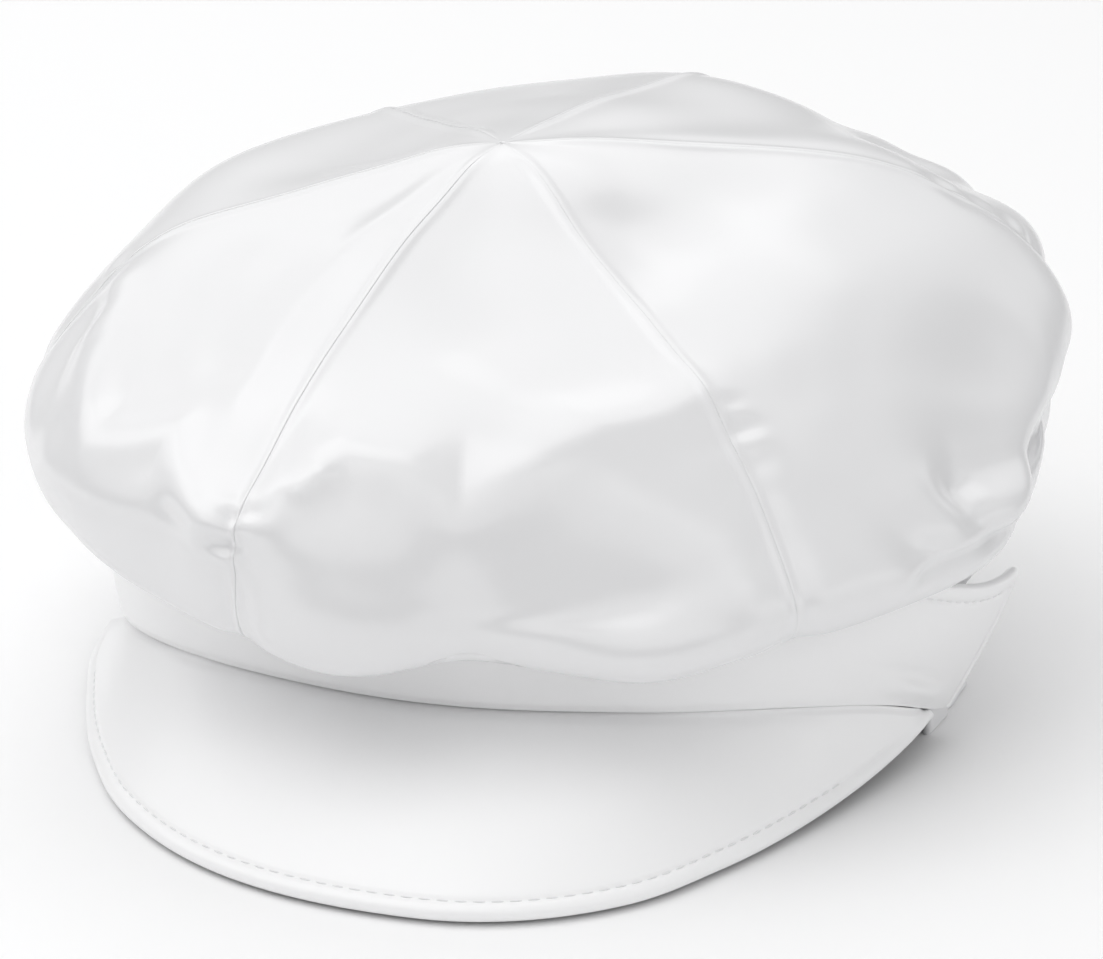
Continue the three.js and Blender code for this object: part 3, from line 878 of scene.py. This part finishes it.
def casing_grids():
    inner = np.linspace(-1, 1, 420)[1:-1] * (CASING_HALF - RIM[-1])
    arc = np.concatenate([RIM - CASING_HALF, inner, (CASING_HALF - RIM)[::-1]])
    drop = np.concatenate([RIM * 0.8, np.linspace(1.4, 12.6, 22), (CASING_HEIGHT - RIM * 0.8)[::-1]])
    heading, down = np.meshgrid(180 + arc / CASING_HALF * (180 - CASING_START), drop)
    v = down / CASING_HEIGHT
    reach = around(BAND, heading)[..., 0] - CASING_INSET
    outward = polar(heading, 1, 0)
    from_end = CASING_HALF - np.abs(np.radians(heading - 180) * CASING_REACH)
    from_rim = np.minimum(down, CASING_HEIGHT - down)
    half = CASING_WALL / 2 * rounded(np.minimum(from_end, from_rim), 0.8)
    calm = ramp(from_end, 2, 16)
    turn = np.radians(heading)
    phase = turn * 40 + 0.8 * np.sin(turn * 9.3) + 0.5 * np.sin(turn * 23.7)
    ripple = 0.62 * np.cos(phase + 0.5 * np.sin(v * 5)) + 0.25 * np.cos(phase * 2.13 + 1)
    tunnel = sum(np.exp(-(((v - place) / 0.06) ** 2)) for place in TUNNEL_PLACES)
    puff = 0.5 * np.sin(np.pi * np.clip((v - 0.16) / 0.68, 0, 1)) * calm
    shape = ripple * calm * (1 - 0.35 * tunnel) + puff - 0.35 * tunnel * calm
    point = polar(heading, reach, CASING_HEIGHT - down)
    edge = rounded(from_rim, 1.2)
    outside = point + outward * (half + shape * edge)[..., None]
    inside = point + outward * (0.6 * shape * edge - half)[..., None]
    return outside, inside, np.stack([turn * CASING_REACH * 1.5, down], axis=-1)


casing = make_wall("satin_elastic_casing", *casing_grids(), [casing_satin])
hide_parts("elastic_casing")


# Peak

PEAK_STITCH = 2.6  # mm from the outer edge
PEAK_HALF = math.radians(PEAK_END) * PEAK_REACH
PEAK_TURN_IN = 1.2  # how far its inner edge reaches in under the cuff
PEAK_LIFT_IN = 0.04  # and how far that edge is pulled up towards it
PEAK_DROP_IN = 0.5  # how far it drops at the sides, to pass under the cuff's slanted ends
PEAK_DROP_FROM = (42, 58)  # headings where that begins and is full


def peak_surface(heading, from_edge):
    """Middle, upward direction, half thickness and relief of the peak."""
    base = peak_middle(heading, np.zeros_like(heading))
    edge = peak_middle(heading, np.ones_like(heading))
    width = np.linalg.norm(base - edge, axis=-1)
    v = 1 - from_edge / width
    point = peak_middle(heading, v)
    inside_ends = np.clip(heading, -PEAK_END + 0.5, PEAK_END - 0.5)
    outward = normals(peak_middle, inside_ends, np.clip(v, 0.1, 0.9), 0.4, 0.05)
    from_end = PEAK_HALF - np.abs(np.radians(heading) * PEAK_REACH)
    half = PEAK_WALL / 2 * rounded(np.minimum(from_edge, from_end), PEAK_WALL / 2)
    groove = -0.28 * np.exp(-(((from_edge - PEAK_STITCH) / 0.4) ** 2)) * ramp(width, 6, 10)
    puff = 0.12 * np.sin(np.pi * np.clip(from_edge / PEAK_STITCH, 0, 1))
    from_seam_line = width - from_edge
    pressed = 1 - 0.8 * ramp(heading, *SEAM_FADE)
    valley = -0.45 * pressed * np.exp(-((np.maximum(from_seam_line, 0) / 1.6) ** 2))
    lift = PEAK_LIFT_IN - PEAK_DROP_IN * ramp(np.abs(heading), *PEAK_DROP_FROM)
    lip = lift * (1 - ramp(from_seam_line, -0.6, 0.6))
    relief = (groove + puff) * rounded(from_edge, 1) + valley * ramp(from_edge, 1, 5) + lip
    return point, outward, half, relief, width


def peak_grids():
    inner = np.linspace(-1, 1, 200)[1:-1] * (PEAK_HALF - RIM[-1])
    arc = np.concatenate([RIM - PEAK_HALF, inner, (PEAK_HALF - RIM)[::-1]])
    heading = arc / PEAK_HALF * PEAK_END
    edge = np.concatenate([RIM, [1.5, 1.9, 2.2, 2.45, 2.6, 2.8, 3.1, 3.5, 4.2]])
    base = peak_middle(heading, np.zeros_like(heading))
    width = np.linalg.norm(base - peak_middle(heading, np.ones_like(heading)), axis=-1)
    scaled = edge[:, None] * np.minimum(1, width / 7)[None, :]
    rest = mix(scaled[-1], width, np.linspace(0, 1, 34)[1:, None])
    under_cuff = width + PEAK_TURN_IN * np.array([[0.35], [0.7], [1]])
    from_edge = np.concatenate([scaled, rest, under_cuff])[::-1]
    heading = np.broadcast_to(heading, from_edge.shape)
    point, outward, half, relief, _ = peak_surface(heading, from_edge)
    outside = point + outward * (half + relief)[..., None]
    inside = point - outward * half[..., None]
    return outside, inside, np.stack([np.radians(heading) * PEAK_REACH, from_edge], axis=-1)


peak = make_wall("satin_peak", *peak_grids(), [peak_satin])
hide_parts("peak")


# Stitches

STITCH_LENGTH = 2.1
STITCH_GAP = 0.7
STITCH_THICK = 0.17
STITCH_RINGS = [(-1, 0.25), (-0.8, 0.8), (-0.4, 1), (0.4, 1), (0.8, 0.8), (1, 0.25)]  # place, size
STITCH_SIDES = 6


def along_path(path, step):
    """Equally spaced places on a path of points, as fractional indices."""
    length = np.concatenate([[0], np.cumsum(np.linalg.norm(np.diff(path, axis=0), axis=1))])
    places = np.arange(step, length[-1] - step / 2, step)
    return np.interp(places, length, np.arange(len(path)))


def row_at(values, index):
    whole = np.arange(len(values))
    return np.stack([np.interp(index, whole, values[:, k]) for k in range(3)], axis=-1)


def make_stitches(name, path, outward, slot):
    """A row of stitches, each a short raised thread that dips into the cloth at both ends."""
    middle = along_path(path, STITCH_LENGTH + STITCH_GAP)
    points, faces = [], []
    ring = np.arange(STITCH_SIDES) * 2 * np.pi / STITCH_SIDES
    for index in middle:
        centre = row_at(path, [index])[0]
        up = unit(row_at(outward, [index])[0])
        ahead = unit(row_at(path, [index + 0.5])[0] - row_at(path, [index - 0.5])[0])
        aside = np.cross(up, ahead)
        first = len(points)
        for place, size in STITCH_RINGS:
            sunk = centre + ahead * place * STITCH_LENGTH / 2 + up * STITCH_THICK * (0.35 - 1.1 * place**4)
            for angle in ring:
                spoke = (aside * math.cos(angle) + up * math.sin(angle)) * STITCH_THICK * size
                points.append(sunk + spoke)
        for r in range(len(STITCH_RINGS) - 1):
            for k in range(STITCH_SIDES):
                a = first + r * STITCH_SIDES + k
                b = first + r * STITCH_SIDES + (k + 1) % STITCH_SIDES
                faces.append((a, b, b + STITCH_SIDES, a + STITCH_SIDES))
        faces.append(tuple(first + k for k in reversed(range(STITCH_SIDES))))
        last = first + (len(STITCH_RINGS) - 1) * STITCH_SIDES
        faces.append(tuple(last + k for k in range(STITCH_SIDES)))
    points = np.array(points)
    mesh = bpy.data.meshes.new(name)
    mesh.from_pydata(((points + SHIFT) * METRE).tolist(), [], faces)
    layer = mesh.uv_layers.new(name="cloth")
    loops = np.empty(len(mesh.loops), int)
    mesh.loops.foreach_get("vertex_index", loops)
    layer.data.foreach_set("uv", points[loops][:, :2].ravel())
    mesh.materials.append(thread)
    mesh.shade_smooth()
    row = bpy.data.objects.new(name, mesh)
    bpy.context.scene.collection.objects.link(row)
    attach(row, "root")


def peak_stitch_path():
    heading = np.linspace(-66, 58, 260)
    from_edge = np.full_like(heading, PEAK_STITCH)
    point, outward, half, relief, _ = peak_surface(heading, from_edge)
    return point + outward * (half + relief)[..., None], outward


def cuff_stitch_path():
    """Just inside the cuff's rim, round both top corners."""
    straight = CUFF_END - math.degrees(CUFF_CORNER / CUFF_REACH)
    heading = np.linspace(-straight, straight, 300)
    point, outward, half, push, _ = cuff_surface(heading, np.full_like(heading, CUFF_STITCH))
    return point + outward * (half + push)[..., None], outward


make_stitches("peak_stitches", *peak_stitch_path(), "peak_satin")
make_stitches("cuff_stitches", *cuff_stitch_path(), "cuff_satin")


# Table, light and camera


def table_material():
    material = bpy.data.materials.new("pale_table")
    material.use_nodes = True
    surface = material.node_tree.nodes["Principled BSDF"]
    surface.inputs["Base Color"].default_value = (0.96, 0.96, 0.963, 1)
    surface.inputs["Roughness"].default_value = 0.6
    surface.inputs["Specular IOR Level"].default_value = 0.2
    return material


def make_table():
    half = 4.0  # metres from the cap to each side
    mesh = bpy.data.meshes.new("table")
    corners = [(-half, -half, 0), (half, -half, 0), (half, half, 0), (-half, half, 0)]
    mesh.from_pydata(corners, [], [(0, 1, 2, 3)])
    mesh.materials.append(table_material())
    table = bpy.data.objects.new("table", mesh)
    bpy.context.scene.collection.objects.link(table)


def from_middle(azimuth, elevation):
    """Unit vector towards a direction: azimuth 0 is in front of the peak, 90 on its +X side."""
    azimuth, elevation = math.radians(azimuth), math.radians(elevation)
    level = math.cos(elevation)
    return Vector((math.sin(azimuth) * level, -math.cos(azimuth) * level, math.sin(elevation)))


def make_softbox(name, azimuth, elevation, distance, size, brightness):
    """A flat, evenly lit panel that faces the cap; brightness 1 shows as full white."""
    light = bpy.data.lights.new(name, "AREA")
    light.shape = "RECTANGLE"
    light.size, light.size_y = size
    light.energy = brightness * math.pi * size[0] * size[1]
    lamp = bpy.data.objects.new(name, light)
    away = from_middle(azimuth, elevation)
    lamp.location = away * distance
    lamp.rotation_mode = "QUATERNION"
    lamp.rotation_quaternion = away.to_track_quat("Z", "Y")
    bpy.context.scene.collection.objects.link(lamp)


def make_world(strength):
    world = bpy.data.worlds.new("pale_studio")
    world.use_nodes = True
    world.node_tree.nodes["Background"].inputs["Color"].default_value = (1, 1, 1, 1)
    world.node_tree.nodes["Background"].inputs["Strength"].default_value = strength
    bpy.context.scene.world = world


def make_camera():
    back = from_middle(CAMERA_AZIMUTH, CAMERA_ELEVATION)
    camera_data = bpy.data.cameras.new("camera")
    camera_data.sensor_width = 36
    camera_data.lens = CAMERA_LENS
    camera_data.shift_x, camera_data.shift_y = CAMERA_SHIFT
    camera = bpy.data.objects.new("camera", camera_data)
    aim = (Vector(CAMERA_AIM) + Vector(SHIFT)) * METRE
    camera.location = aim + back * CAMERA_DISTANCE * METRE
    camera.rotation_mode = "QUATERNION"
    camera.rotation_quaternion = (-back).to_track_quat("-Z", "Y")
    bpy.context.scene.collection.objects.link(camera)
    bpy.context.scene.camera = camera


make_table()
make_world(WORLD)
for softbox in SOFTBOXES:
    make_softbox(*softbox)
make_camera()
bpy.context.scene.view_settings.view_transform = "Standard"
